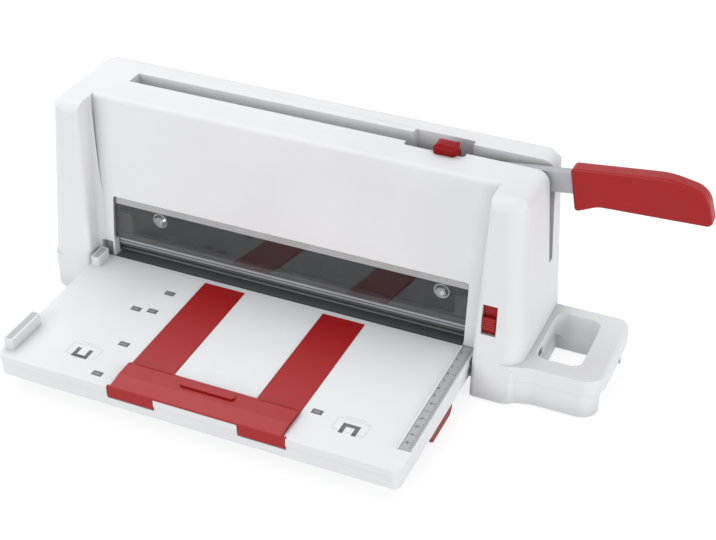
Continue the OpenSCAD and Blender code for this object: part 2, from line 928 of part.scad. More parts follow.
module cut_line_lamp() {
    color("whitesmoke")
        placed()
            along_x(-throat + free_gap, throat - free_gap)
                leaning_strip(0.6 + guard_t, lamp_t, window_top - lamp_h, window_top);
}

// Steel frame inside the covers
frame_screw_d = 5;
// Screws of the frame, in from its ends, ahead of the plate and behind it
frame_screw_in = 5;
frame_screw_ahead = 5;
frame_screw_behind = 10;

module frame_screw_places() {
    for (side = [-1, 1], y = [frame_front - frame_screw_ahead, frame_rear + frame_screw_behind])
        translate([side * (frame_end - frame_screw_in), y, 0])
            children();
}

module frame_plate() {
    foot = 20;
    color("slategray")
        placed()
            difference() {
                union() {
                    along_y(frame_front, frame_rear)
                        rounded([[-frame_end, base_h], [frame_end, base_h], [frame_end, carrier_top + lift],
                            [-frame_end + 70, frame_top], [-frame_end - eye_r, frame_top],
                            [-frame_end - eye_r, frame_arch + 40], [-frame_end, frame_arch + 24]],
                            [0, 0, 8, 12, 12, 8, 8]);
                    both_ends()
                        along_x(frame_end - 10, frame_end)
                            polygon([[frame_rear, base_h], [frame_rear + foot, base_h],
                                [frame_rear + foot, base_h + 4], [frame_rear + 4, base_h + 30],
                                [frame_rear, base_h + 30]]);
                }
                along_y(-through, through)
                    rounded([[-throat + 2, 0], [throat - 2, 0], [throat - 2, frame_arch], [-throat + 2, frame_arch]],
                        [0, 0, 4, 4]);
                // Room for the drive pin's swing
                along_y(-through, through)
                    rounded_box([pin_x - drive_pin_d, pin_z - drop - drive_pin_d],
                        [pin_x + drive_pin_d + 2, pin_z + lift + drive_pin_d], 4);
                rod_y(-pivot_x, pivot_z, -through, through, shaft_d);
                stud_places()
                    rod_y(0, 0, -through, through, stud_d);
                frame_screw_places()
                    cylinder(d = frame_screw_d, h = through);
            }
}

module stud_places() {
    for (x = [-stud_x, stud_x])
        translate([x, 0, stud_z])
            children();
}

module guide_studs() {
    head = 2;
    color("silver")
        placed()
            stud_places() {
                rod_y(0, 0, carrier_front - slide_gap, frame_rear, stud_d);
                rod_y(0, 0, carrier_front - slide_gap - head, carrier_front - slide_gap, stud_d + 6);
                rod_y(0, 0, frame_rear, frame_rear + head, stud_d + 4);
            }
}

module frame_brackets() {
    groove = tongue_t + 2 * slide_gap;
    bracket_top = tongue_top + lift + 2;
    color("slategray")
        placed()
            both_ends()
                difference() {
                    along_x(bracket_in, bracket_out)
                        polygon([[press_front + 2, base_h], [frame_front, base_h], [frame_front, bracket_top],
                            [tongue_front - 1.5, bracket_top], [press_front + 2, guard_low]]);
                    translate([bracket_in - eps, tongue_front - slide_gap, base_h - eps])
                        cube([3, groove, through]);
                    frame_screw_places()
                        cylinder(d = frame_screw_d, h = through);
                }
}

module frame_screws() {
    head = 3.5;
    color("silver")
        placed()
            frame_screw_places()
                translate([0, 0, base_h - wall - 8])
                    cylinder(d = frame_screw_d, h = wall + 8 + head);
}

module lever_shaft() {
    color("silver")
        placed() {
            rod_y(-pivot_x, pivot_z, frame_front, arm_rear + 6, shaft_d);
            rod_y(-pivot_x, pivot_z, frame_rear, arm_front - 1, shaft_d + 8);
        }
}

module shaft_clip() {
    color("gray")
        placed()
            difference() {
                rod_y(-pivot_x, pivot_z, arm_rear + 1, arm_rear + 2.5, shaft_d + 7);
                rod_y(-pivot_x, pivot_z, -through, through, shaft_d);
            }
}

module hinge_pins() {
    color("silver")
        placed()
            both_ends()
                rod_x(-hinge_y, hinge_z, table_side - 8, tower_in + 11, hinge_d);
}

// Lever: drawn level from its pivot and tilted to its resting place
module on_lever() {
    placed()
        translate([-pivot_x, 0, pivot_z])
            rotate([0, -lever_tilt, 0])
                children();
}

bush_d = shaft_d + 2 * run_gap + 2 * bush_wall;
crank_turn = -crank_low - lever_tilt;
arm_end = grip_end - 37;

module arm_outline() {
    rounded([[0, -arm_h / 2], [arm_end, -arm_h / 2], [arm_end, arm_h / 2], [0, arm_h / 2]], [0, 5, 5, 0]);
}

module lever_arm() {
    color("silver")
        on_lever()
            difference() {
                union() {
                    rod_y(0, 0, arm_front, arm_rear, 2 * eye_r);
                    along_y(arm_front, arm_rear)
                        arm_outline();
                }
                rod_y(0, 0, -through, through, bush_d);
                rod_y(crank_r * cos(crank_turn), crank_r * sin(crank_turn), -through, through, drive_pin_d);
                grip_screw_places()
                    rod_y(0, 0, -through, through, grip_screw_d);
                translate([lug_u, 0, lug_v])
                    rod_y(0, 0, -through, through, lug_pin_d);
            }
}

module pivot_bush() {
    color("goldenrod")
        on_lever()
            difference() {
                rod_y(0, 0, arm_front - 0.7, arm_rear + 0.7, bush_d);
                rod_y(0, 0, -through, through, shaft_d + 2 * run_gap);
            }
}

module drive_pin() {
    color("silver")
        on_lever()
            rod_y(crank_r * cos(crank_turn), crank_r * sin(crank_turn), carrier_front + 1, arm_rear, drive_pin_d);
}

// Catch on the lever's side that the lock knob slides over
lug_reach = [lug_x + lug_w / 2 + pivot_x, lug_top - 5 - pivot_z];
lug_u = lug_reach[0] * cos(lever_tilt) + lug_reach[1] * sin(lever_tilt);
lug_v = lug_reach[1] * cos(lever_tilt) - lug_reach[0] * sin(lever_tilt);
lug_pin_d = 5;

module lock_lug() {
    color("silver")
        on_lever()
            translate([lug_u, 0, lug_v]) {
                rod_y(0, 0, arm_front, arm_rear, lug_pin_d);
                rod_y(0, 0, lug_front, arm_front, lug_w);
            }
}

grip_screw_d = 5;
grip_head_d = 9;
grip_head_t = 1.8;
grip_head_rear = slot_y + grip_t / 2;
screw_bite = 1.5;

module grip_screw_places() {
    for (u = [grip_start + 22, arm_end - 14])
        translate([u, 0, 0])
            children();
}

// Plate with rounded edges: rings of the outline, drawn in towards both faces
function ring_normal(p, i) =
    let (n = len(p), d = unit(p[(i + 1) % n] - p[(i + n - 1) % n]))
    [-d[1], d[0]];

module rounded_plate(points, y0, y1, r) {
    n = len(points);
    turns = [0, 30, 60, 90];
    rings = concat([for (w = turns) [y0 + r - r * cos(w), r - r * sin(w)]],
        [for (w = [90, 60, 30, 0]) [y1 - r + r * cos(w), r - r * sin(w)]]);
    last = len(rings) - 1;
    polyhedron(
        [for (ring = rings) for (i = [0:n - 1])
            let (p = points[i] - ring[1] * ring_normal(points, i))
            [p[0], ring[0], p[1]]],
        concat([[for (i = [0:n - 1]) i]], [[for (i = [0:n - 1]) last * n + n - 1 - i]],
            [for (k = [0:last - 1]) for (i = [0:n - 1])
                let (j = (i + 1) % n)
                each [[k * n + j, k * n + i, (k + 1) * n + i], [k * n + j, (k + 1) * n + i, (k + 1) * n + j]]]));
}

module handle_grip() {
    color("firebrick")
        on_lever()
            difference() {
                rounded_plate(grip_outline, slot_y - grip_t / 2, slot_y + grip_t / 2, grip_r);
                // Pocket for the arm
                along_y(arm_front, arm_rear)
                    arm_outline();
                grip_screw_places() {
                    rod_y(0, 0, arm_front - screw_bite, grip_head_rear + 1, grip_screw_d);
                    rod_y(0, 0, grip_head_rear - grip_head_t, grip_head_rear + 1, grip_head_d);
                }
            }
}

module handle_screws() {
    head_top = grip_head_rear - 0.2;
    color("silver")
        on_lever()
            grip_screw_places()
                difference() {
                    union() {
                        rod_y(0, 0, arm_front - screw_bite, grip_head_rear - grip_head_t, grip_screw_d);
                        rod_y(0, 0, grip_head_rear - grip_head_t, head_top, grip_head_d);
                    }
                    cross_recess(head_top);
                }
}

// Blade carriage
module blade_carrier() {
    slot = stud_d + 2 * slide_gap;
    ear_low = pin_z - yoke_h / 2 - 7;
    ear_top = pin_z + yoke_h / 2 + 7;
    color("dimgray")
        placed()
            difference() {
                along_y(carrier_front, carrier_rear)
                    rounded([[carriage_left, carrier_low], [carriage_right, carrier_low],
                        [carriage_right, carrier_top], [yoke_right + 30, carrier_top],
                        [yoke_right + 14, ear_top], [yoke_left - 12, ear_top], [yoke_left - 12, ear_low],
                        [carriage_left, ear_low - 12]],
                        [2, 2, 6, 6, 6, 5, 5, 4]);
                along_y(-through, through)
                    obround([yoke_left, pin_z], [yoke_right, pin_z], yoke_h);
                stud_places()
                    along_y(-through, through)
                        obround([-(lift + free_gap) * slope_run, -lift - free_gap],
                            [(drop + free_gap) * slope_run, drop + free_gap], slot);
                bolt_places()
                    rod_y(0, 0, -through, through, bolt_d);
            }
}

module bolt_places() {
    for (x = [bolt_mid - bolt_x, bolt_mid + bolt_x])
        translate([x, 0, bolt_z])
            children();
}

module blade() {
    color("silver")
        placed()
            difference() {
                along_x(carriage_left, carriage_right)
                    polygon([[carrier_front, edge_z], [carrier_front, edge_z + blade_h],
                        [blade_front, edge_z + blade_h], [blade_front, edge_z + bevel_h],
                        [carrier_front - 0.2, edge_z]]);
                bolt_places()
                    rod_y(0, 0, -through, through, bolt_d);
            }
}

washer_t = 1.6;

module blade_bolts() {
    color("silver")
        placed()
            bolt_places()
                difference() {
                    union() {
                        rod_y(0, 0, blade_front, carrier_rear, bolt_d);
                        rod_y(0, 0, blade_front - washer_t, blade_front, bolt_head_d);
                        translate([0, blade_front - washer_t, 0])
                            rotate([90, 0, 0])
                                cylinder(d1 = bolt_head_d - 2, d2 = bolt_head_d - 5, h = bolt_head_t - washer_t);
                    }
                    translate([0, head_front, 0])
                        rotate([90, 0, 0])
                            cylinder(d = bolt_d - 0.5, h = bolt_d, center = true, $fn = 6);
                }
}

// Press bar with grooves along its front and a tongue in each bracket
groove_step = 3.4;
groove_w = 0.9;

module press_bar() {
    color("lightgray")
        placed() {
            along_x(-throat + free_gap, throat - free_gap)
                difference() {
                    rounded([[press_front, press_low], [press_rear, press_low], [press_rear, press_top],
                        [press_front + 1, press_top]], [0, 0, 0, 1.5]);
                    for (z = [press_low + groove_step:groove_step:press_top - groove_step / 2])
                        translate([press_front - 1, z - groove_w / 2])
                            square([1 + groove_w, groove_w]);
                }
            both_ends()
                translate([tongue_in, tongue_front, press_low])
                    cube([bracket_in + 2.6 - tongue_in, tongue_t, tongue_top - press_low]);
        }
}

module press_pad() {
    color("dimgray")
        placed()
            along_x(-throat + 2 * free_gap, throat - 2 * free_gap)
                translate([press_front + 1, pad_low])
                    square([press_t - 2, pad_t]);
}

// Feed table
module table_outline(t, r) {
    rounded([[-table_side + t, -table_front + t], [table_side - t, -table_front + t],
        [table_side - t, -table_rear - t], [-table_side + t, -table_rear - t]], [r, r, 2, 2]);
}

module guide_arm_outlines(extra) {
    for (x = [guide_left, arm_inner_right])
        translate([x - extra, -table_front - extra])
            square([guide_arm_w + 2 * extra, table_front - guide_rear + 2 * extra]);
}

module runner_places() {
    for (x = [guide_left + guide_arm_w / 2, guide_right - guide_arm_w / 2])
        translate([x, 0])
            children();
}

// Ribs under the table, out from its middle
rib_places = [92, 140];

module table_ribs() {
    rib = 2;
    for (side = [-1, 1], out = rib_places)
        translate([side * out - rib / 2, -table_front])
            square([rib, table_front - table_rear]);
    for (x = [guide_left - 8, arm_inner_left + 4, arm_inner_right - 6, guide_right + 6])
        translate([x, -table_front])
            square([rib, table_front - table_rear]);
    for (y = [-leg_y - leg_w / 2 - 4, -leg_y + leg_w / 2 + 2, -leg_y - leg_w / 2 - 46])
        translate([-table_side, y])
            square([2 * table_side, rib]);
}

module table_panel() {
    color("white")
        placed()
            difference() {
                union() {
                    along_z(skin_low, table_z)
                        table_outline(0, table_r);
                    along_z(rim_step_z, table_z)
                        difference() {
                            table_outline(0, table_r);
                            table_outline(rim, table_r - rim);
                        }
                    along_z(table_low, rim_step_z)
                        difference() {
                            table_outline(rim_step, table_r - rim_step);
                            table_outline(rim, table_r - rim);
                        }
                    along_z(table_low + 4, table_z)
                        intersection() {
                            table_outline(1, table_r - 1);
                            table_ribs();
                        }
                    both_ends() {
                        rod_x(-hinge_y, hinge_z, table_side - 10, table_side, hinge_d + 5);
                        leg_bearings();
                    }
                    ruler_rib();
                }
                along_z(table_z - guide_sink, table_z + fence_h)
                    guide_arm_outlines(slide_gap);
                runner_places()
                    along_z(runner_z - 4, table_z + 1)
                        translate([-runner_w / 2 - slide_gap, -guide_rear - runner_l - guide_travel - slide_gap])
                            square([runner_w + 2 * slide_gap, runner_l + guide_travel + 2 * slide_gap]);
                // Feet of the runners pass below the skin
                runner_places()
                    along_z(table_low - 1, skin_low)
                        translate([-runner_w - slide_gap, -guide_rear - runner_l - guide_travel - slide_gap])
                            square([2 * runner_w + 2 * slide_gap, runner_l + guide_travel + 2 * slide_gap]);
                // Lip of the guide lies flush in the front edge
                for (x = lip_spans)
                    along_z(table_z - guide_lip - free_gap, table_z + 1)
                        translate([x[0] - slide_gap, -table_front - 1])
                            square([x[1] - x[0] + 2 * slide_gap, lip_t + 1 + slide_gap]);
                both_ends() {
                    rod_x(-hinge_y, hinge_z, table_side - 12, table_side + 1, hinge_d + 2 * run_gap);
                    rod_y(leg_x, leg_axis_z, -leg_y - leg_w / 2 - 8, -leg_y + leg_w / 2 + 8, leg_pin_d);
                }
            }
}

module ruler_rib() {
    along_z(skin_low, table_z + 1.2)
        translate([table_side - ruler_w - 3.5, -table_front + 25])
            square([1.5, table_front - table_rear - 26]);
}

module leg_bearings() {
    for (y = [-leg_y - leg_w / 2 - 6, -leg_y + leg_w / 2 + 0.5])
        along_y(y, y + 5.5)
            rounded([[leg_x - 5, leg_axis_z - 5], [table_side - 1, leg_axis_z - 5],
                [table_side - 1, skin_low + 1], [leg_x - 5, skin_low + 1]], [4, 0, 0, 0]);
}

// Fences that the sheet's side stops against, with a soft pad on top
fence_spans = [[-table_front + 10, -table_front + 52, fence_h],
    [-hinge_y - 13, -hinge_y + fence_rear_end, rear_fence_h]];
pad_sink = 1;

module fence_outline(span, t, r) {
    left = -table_side + fence_in;
    rounded_box([left + t, span[0] + t], [left + fence_t - t, span[1] - t], r);
}

// Fences that the sheet's side stops against, with a soft pad on top
module side_fences() {
    color("white")
        placed()
            difference() {
                for (span = fence_spans)
                    along_z(table_z, table_z + span[2])
                        fence_outline(span, 0, 2);
                for (span = fence_spans)
                    along_z(table_z + span[2] - pad_sink, table_z + span[2] + 1)
                        fence_outline(span, fence_rim, 0.8);
            }
}

module fence_pads() {
    color("lightgray")
        placed()
            for (span = fence_spans)
                along_z(table_z + span[2] - pad_sink, table_z + span[2])
                    fence_outline(span, fence_rim, 0.8);
}

module ruler_strip() {
    color("darkgray")
        placed()
            along_z(table_z, table_z + 0.6)
                translate([table_side - ruler_w - 1.8, -table_front + 25])
                    square([ruler_w, table_front - table_rear - 26]);
}

// Paper guide: two flat arms, a raised cross bar and a front lip
module paper_guide() {
    arm_low = table_z - guide_sink;
    bar_rear = -table_front + guide_bar;
    color("firebrick")
        placed() {
            along_z(arm_low, arm_low + guide_t)
                guide_arm_outlines(-eps);
            along_x(guide_left, guide_right)
                rounded([[-table_front, arm_low + 1.4], [bar_rear, arm_low + 1.4],
                    [bar_rear, table_z + guide_bar_h - 2.5], [bar_rear - 4, table_z + guide_bar_h],
                    [-table_front + 14, table_z + guide_bar_h], [-table_front, table_z + 1.5]],
                    [0, 0, 1, 2, 4, 1]);
            for (x = lip_spans)
                along_x(x[0], x[1])
                    rounded([[-table_front, table_z - guide_lip], [-table_front + lip_t, table_z - guide_lip],
                        [-table_front + lip_t, table_z + 1], [-table_front, table_z + 1]], [1, 0, 0, 0]);
            // Finger ridge on the cross bar
            along_z(table_z + 1, table_z + guide_bar_h + 1.8)
                rounded_box([guide_x - 24, bar_rear - 14], [guide_x + 24, bar_rear - 7], 3);
            runner_places() {
                along_z(runner_z, arm_low + 1)
                    translate([-runner_w / 2, -guide_rear - runner_l])
                        square([runner_w, runner_l]);
                along_z(runner_z - 1.8, runner_z)
                    translate([-runner_w, -guide_rear - runner_l])
                        square([2 * runner_w, runner_l]);
            }
        }
}

// Folding legs under the table
module leg() {
    placed()
        difference() {
            union() {
                along_x(leg_x + leg_boss_d / 2 - leg_t, leg_x + leg_boss_d / 2)
                    rounded([[-leg_y - leg_w / 2, 0], [-leg_y + leg_w / 2, 0],
                        [-leg_y + leg_w / 2, leg_axis_z], [-leg_y - leg_w / 2, leg_axis_z]], [7, 7, 0, 0]);
                rod_y(leg_x, leg_axis_z, -leg_y - leg_w / 2, -leg_y + leg_w / 2, leg_boss_d);
            }
            rod_y(leg_x, leg_axis_z, -through, through, leg_pin_d + 2 * run_gap);
        }
}

module right_leg() {
    color("firebrick")
        leg();
}

module left_leg() {
    color("firebrick")
        placed()
            mirror([1, 0, 0])
                translate(-shift)
                    leg();
}

module leg_pins() {
    color("silver")
        placed()
            both_ends()
                rod_y(leg_x, leg_axis_z, -leg_y - leg_w / 2 - 6, -leg_y + leg_w / 2 + 6, leg_pin_d);
}

// Lever lock: a cap above the top skin, a foot below it and a finger that passes over the lug
module lock_knob() {
    skin = wall + 2 * slide_gap;
    neck_front = knob_front + 5 + slide_gap;
    color("firebrick")
        placed() {
            intersection() {
                along_z(housing_h + slide_gap, housing_h + knob_h)
                    rounded_box([knob_left, knob_front], [knob_right, knob_rear], 4);
                along_x(knob_left, knob_right)
                    rounded([[knob_front, housing_h], [knob_rear, housing_h], [knob_rear, housing_h + knob_h],
                        [knob_front, housing_h + knob_h - 1]], [0, 0, 5, 5]);
                along_y(knob_front, knob_rear)
                    rounded([[knob_left, housing_h], [knob_right, housing_h], [knob_right, housing_h + knob_h],
                        [knob_left, housing_h + knob_h - 1]], [0, 0, 4, 6]);
            }
            along_z(housing_h + slide_gap - skin - 2, housing_h + 1)
                translate([knob_left, neck_front])
                    square([knob_l, knob_rear - neck_front]);
            along_z(housing_h + slide_gap - skin - 4, housing_h + slide_gap - skin)
                translate([knob_left, knob_front])
                    square([knob_l, knob_rear - knob_front]);
            // Finger that reaches down to just above the lug
            along_z(lug_top + 1.5, housing_h - wall)
                translate([knob_left, lug_front])
                    square([knob_l - 4, knob_rear - lug_front]);
        }
}

// Lamp switch: a plate behind the leaning tower front with a ridged nub
switch_lean = atan(tower_lean / housing_h);

module switch_frame() {
    translate([inner_at(switch_z) + switch_in, tower_y(switch_z), switch_z])
        rotate([-switch_lean, 0, 0])
            children();
}

module lamp_switch() {
    plate_h = switch_h + 2 * switch_travel + 3;
    nub_h = switch_h - switch_travel - 10;
    color("firebrick")
        placed()
            switch_frame() {
                translate([0, wall + slide_gap + 0.6, 0])
                    cube([switch_w + 1.2, 1.2, plate_h], center = true);
                translate([0, wall / 2 + 0.4, -switch_travel / 2])
                    cube([switch_w - 1, wall + 1, nub_h], center = true);
                for (i = [-2:2])
                    translate([0, 0, -switch_travel / 2 + i * nub_h / 5.5])
                        rotate([0, 90, 0])
                            cylinder(d = 2.2, h = switch_w - 2, center = true);
            }
}

base_moulding();
base_plate();
rubber_feet();
front_cover();
rear_cover();
safety_guard();
cut_line_lamp();
bed_strip();
frame_plate();
frame_brackets();
guide_studs();
frame_screws();
lever_shaft();
shaft_clip();
cutting_stick();
cover_screws();
hinge_pins();
lever_arm();
pivot_bush();
drive_pin();
lock_lug();
handle_grip();
handle_screws();
blade_carrier();
blade();
blade_bolts();
press_bar();
press_pad();
table_panel();
side_fences();
fence_pads();
ruler_strip();
leg_pins();
paper_guide();
lock_knob();
lamp_switch();
left_leg();
right_leg();
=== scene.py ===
import math

import bpy
from mathutils import Matrix, Vector

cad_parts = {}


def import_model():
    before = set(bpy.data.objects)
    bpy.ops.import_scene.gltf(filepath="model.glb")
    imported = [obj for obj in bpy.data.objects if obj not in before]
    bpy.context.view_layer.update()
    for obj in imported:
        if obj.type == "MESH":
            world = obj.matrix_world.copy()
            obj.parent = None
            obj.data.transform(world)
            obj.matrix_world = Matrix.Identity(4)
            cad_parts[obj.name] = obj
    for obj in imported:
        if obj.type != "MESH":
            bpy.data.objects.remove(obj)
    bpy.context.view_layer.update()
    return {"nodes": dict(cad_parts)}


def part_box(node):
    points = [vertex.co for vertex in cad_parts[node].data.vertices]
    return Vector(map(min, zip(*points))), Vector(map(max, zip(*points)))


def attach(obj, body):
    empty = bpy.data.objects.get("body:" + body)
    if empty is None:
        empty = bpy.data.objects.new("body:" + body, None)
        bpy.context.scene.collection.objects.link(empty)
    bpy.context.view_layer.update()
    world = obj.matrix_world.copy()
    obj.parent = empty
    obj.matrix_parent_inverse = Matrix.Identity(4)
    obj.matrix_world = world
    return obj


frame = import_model()
nodes = frame["nodes"]

# Metres in a millimetre
MM = 0.001

# The photograph's width, and the camera that was solved from its vanishing points
PHOTO_WIDTH_PX = 716
FOCAL_PX = 1519.5
SENSOR_WIDTH_MM = 36.0
CAMERA_PLACE = Vector((0.424079, -0.9045, 0.785))
CAMERA_AZIMUTH = math.radians(23.76)
CAMERA_ELEVATION = math.radians(34.4)
CAMERA_NEAR = 0.05

# Soft lamps: place, aim and size in metres, power in watts
LAMPS = {
    "key": {"place": (-0.7, -2.2, 0.85), "aim": (0.0, 0.0, 0.05), "size": (1.6, 1.2), "watts": 20.0},
    "top": {"place": (-0.9, 0.6, 1.6), "aim": (-0.1, 0.0, 0.0), "size": (1.4, 1.2), "watts": 13.2},
    "side": {"place": (2.0, -0.2, 0.45), "aim": (0.0, 0.0, 0.1), "size": (1.0, 0.8), "watts": 13.0},
}

# Half of the floor's side, in metres
FLOOR_HALF = 30.0
# Floor and world: the strength that lights the object, and the one that camera, gloss and glass see
FLOOR_LIGHT = 0.3
FLOOR_SEEN = 0.78
WORLD_LIGHT = 0.62
WORLD_SEEN = 1.0

# Colours, as linear values
WHITE = (0.80, 0.81, 0.83)
RED = (0.37, 0.007, 0.009)
# Red darkened as painted shade, for the knob and legs that sit in shadow
SHADED_RED = (0.28, 0.005, 0.007)
LEVER_GREY = (0.45, 0.46, 0.49)
RULER_GREY = (0.43, 0.44, 0.455)
CAP_GREY = (0.46, 0.47, 0.49)
FLOOR_GREY = (0.34, 0.34, 0.345)
DARK_STEEL = (0.010, 0.0105, 0.012)
STEEL = (0.55, 0.56, 0.58)
CHROME = (0.88, 0.89, 0.90)
BRONZE = (0.50, 0.33, 0.14)
RUBBER = (0.025, 0.025, 0.027)
STICK = (0.62, 0.62, 0.58)
LAMP_WHITE = (0.92, 0.92, 0.93)
PURE_WHITE = (1.0, 1.0, 1.0)
SMOKE = (0.001, 0.001, 0.004)
SMOKE_DUST = (0.003, 0.003, 0.008)
INK = (0.075, 0.08, 0.09)
ICON_INK = (0.13, 0.135, 0.145)
FAINT_INK = (0.62, 0.63, 0.65)
PALE_INK = (0.36, 0.37, 0.39)
# Cool cast of the greys on the lined strips
COOL_CAST = (0.96, 1.0, 1.05)

# Index of refraction of plastics, paints and inks
PLASTIC_IOR = 1.5
# The guard's alpha thins its reflection too, so its index is above that of the plastic
GUARD_IOR = 2.55
GUARD_ALPHA = 0.22
# Roughness of the guard where it is clean, and where dust lies
GUARD_POLISHED = 0.004
GUARD_DUSTY = 0.02
# Painted shade in hollows: how far hollows are felt, how much shade they paint on a moulding, and how
# many rays find them
HOLLOW_REACH_MM = 18.0
HOLLOW_SHARE = 0.45
HOLLOW_SAMPLES = 8
# Faint glow of the lamp strip
LAMP_GLOW = 0.2

# Greys up the press bar's face, with two bright lines that are painted highlights of its groove edges, in
# millimetres from its lower edge
PRESS_FACE = 13.5
PRESS_GREYS_AND_HIGHLIGHTS = [(0.0, 0.10), (0.9, 0.07), (2.0, 0.08), (2.8, 0.42), (3.5, 0.42), (4.0, 0.12), (4.9, 0.12),
               (5.3, 0.47), (6.3, 0.47), (6.8, 0.13), (8.5, 0.11), (12.0, 0.07)]
# Greys up the blade, near black above its bright ground edge
BLADE_HEIGHT = 44.0
BLADE_GREYS = [(0.0, 0.55), (5.0, 0.50), (5.6, 0.009), (44.0, 0.008)]
# Greys across the bed, in millimetres from its rear edge: a dark coat that partly paints the shade under
# the press bar, and one bright line that is a painted highlight
BED_WIDTH = 15.0
BED_GREYS_AND_HIGHLIGHT = [(0.0, 0.16), (2.4, 0.20), (2.8, 0.55), (4.0, 0.55), (4.4, 0.08), (15.0, 0.10)]

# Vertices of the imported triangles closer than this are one
WELD_MM = 0.002
# Folds up to this angle are shaded smooth, more widely on the covers, whose corners turn in few steps
FOLD_DEGREES = 32.0
COVER_FOLD_DEGREES = 46.0
# Edges that fold by this much more are softened, to these radii
EDGE_MARGIN_DEGREES = 3.0
EDGE_STEPS = 2
EDGE_RADIUS_MM = {"front_cover": 0.8, "rear_cover": 0.8, "base_moulding": 0.9, "table_panel": 0.7,
                  "handle_grip": 0.8, "paper_guide": 0.5, "lever_arm": 0.6, "lock_knob": 0.5,
                  "side_fences": 0.6, "safety_guard": 0.3, "press_bar": 0.3}

# Print: sizes in millimetres, and marks placed from the middle of the table's front edge
PRINT_THICK = 0.06
SIGN_THICK = 0.09
SCALE_THICK = 0.04
# Small labels: a dark block with a row of pale signs
LABELS = [(-90.2, 131.3), (-105.2, 100.5), (-90.9, 103.0), (-89.0, 53.8), (-88.5, 11.9), (91.8, 39.3)]
LABEL_W = 9.0
LABEL_H = 5.6
LABEL_RIM = 1.7
LABEL_SIGNS = 3
SIGN_W = 1.0
# Icons: a plain U that opens to the rear (-1) or to the front (1)
ICONS = [(-114.0, 29.7, -1), (123.0, 30.0, 1)]
ICON_W = 14.4
ICON_H = 12.0
ICON_BAR = 3.6
# Thin frame round an icon, set in from the icon's front edge
FRAME_BESIDE = 6.5
FRAME_INSET = 2.0
FRAME_EXTRA = 3.0
FRAME_LINE = 0.5
# Row of dashes behind an icon
DASHES = 6
DASH_STEP = 2.9
DASH_HALF = 1.0
DASH_BEHIND = 7.0
DASH_LINE = 0.8

# The ruler's scale counts centimetres from the cutting line towards the user
TICK_STEP = 2.0
TICKS_PER_CM = 5
TICK_SHORT = 2.0
TICK_LONG = 3.6
TICK_LINE = 0.35
TICK_MARGIN = 0.5
DIGIT_MARGIN = 0.8
DIGIT_STEP = 1.9
DIGIT_W = 1.5
DIGIT_H = 2.6
DIGIT_LINE = 0.42
# Strokes of each digit: top, upper left, upper right, middle, lower left, lower right, bottom
STROKES = {"0": "1110111", "1": "0010010", "2": "1011101", "3": "1011011", "4": "0111010",
           "5": "1101011", "6": "1101111", "7": "1010010", "8": "1111111", "9": "1111011"}


def shade(colour, factor):
    """A darker or paler colour, no brighter than white."""
    return tuple(min(1.0, c * factor) for c in colour)


def opaque(colour):
    """A colour with the fourth value that Blender's sockets take."""
    return (*colour, 1.0)


class Nodes:
    """Short calls for building one material's node tree."""

    def __init__(self, name):
        self.material = bpy.data.materials.new(name)
        self.material.use_nodes = True
        self.tree = self.material.node_tree
        self.shader = self.tree.nodes["Principled BSDF"]
        self.object_place = None

    def add(self, kind, **settings):
        made = self.tree.nodes.new(kind)
        for key, value in settings.items():
            setattr(made, key, value)
        return made

    def link(self, source, target):
        self.tree.links.new(source, target)

    def feed(self, source, socket):
        self.link(source, self.shader.inputs[socket])

    def set(self, **values):
        for key, value in values.items():
            self.shader.inputs[key.replace("_", " ")].default_value = value

    def place(self):
        """The point on the object, from one shared node."""
        if self.object_place is None:
            self.object_place = self.add("ShaderNodeTexCoord").outputs["Object"]
        return self.object_place

    def noise(self, scale, detail, rough=0.5, stretch=None):
        made = self.add("ShaderNodeTexNoise")
        made.inputs["Scale"].default_value = scale
        made.inputs["Detail"].default_value = detail
        made.inputs["Roughness"].default_value = rough
        source = self.place()
        if stretch:
            mapping = self.add("ShaderNodeMapping")
            mapping.inputs["Scale"].default_value = stretch
            self.link(source, mapping.inputs["Vector"])
            source = mapping.outputs["Vector"]
        self.link(source, made.inputs["Vector"])
        return made.outputs["Fac"]

    def ramp(self, source, stops):
        made = self.add("ShaderNodeValToRGB")
        line = made.color_ramp
        # New stops start in the middle and then go to their places
        while len(line.elements) < len(stops):
            line.elements.new(0.5)
        for element, (at, colour) in zip(line.elements, stops):
            element.position = at
            element.color = opaque(colour)
        self.link(source, made.inputs["Fac"])
        return made.outputs["Color"]

    def between(self, source, first, last, edge=0.3):
        """A soft change from one colour to another."""
        return self.ramp(source, [(edge, first), (1.0 - edge, last)])

    def drift(self, source, colour, dark, pale, edge=0.3):
        """A colour that wanders between a darker and a paler shade of itself."""
        return self.between(source, shade(colour, dark), shade(colour, pale), edge)

    def span(self, source, low, high):
        made = self.add("ShaderNodeMapRange")
        made.inputs["To Min"].default_value = low
        made.inputs["To Max"].default_value = high
        self.link(source, made.inputs["Value"])
        return made.outputs["Result"]

    def dull(self, source, roughness, less, more):
        """A roughness that wanders below and above its middle value."""
        self.feed(self.span(source, roughness - less, roughness + more), "Roughness")

    def bump(self, source, depth_mm, strength, under=None):
        made = self.add("ShaderNodeBump")
        made.inputs["Strength"].default_value = strength
        made.inputs["Distance"].default_value = depth_mm * MM
        self.link(source, made.inputs["Height"])
        if under is not None:
            self.link(under, made.inputs["Normal"])
        return made.outputs["Normal"]

    def painted_hollow_shade(self, colour):
        """Paints shade into a colour in gaps and hollows, by ambient occlusion."""
        hollow = self.add("ShaderNodeAmbientOcclusion", samples=HOLLOW_SAMPLES)
        hollow.inputs["Distance"].default_value = HOLLOW_REACH_MM * MM
        mix = self.add("ShaderNodeMix", data_type="RGBA", blend_type="MULTIPLY")
        mix.inputs["Factor"].default_value = HOLLOW_SHARE
        self.link(colour, mix.inputs["A"])
        self.link(hollow.outputs["Color"], mix.inputs["B"])
        return mix.outputs["Result"]


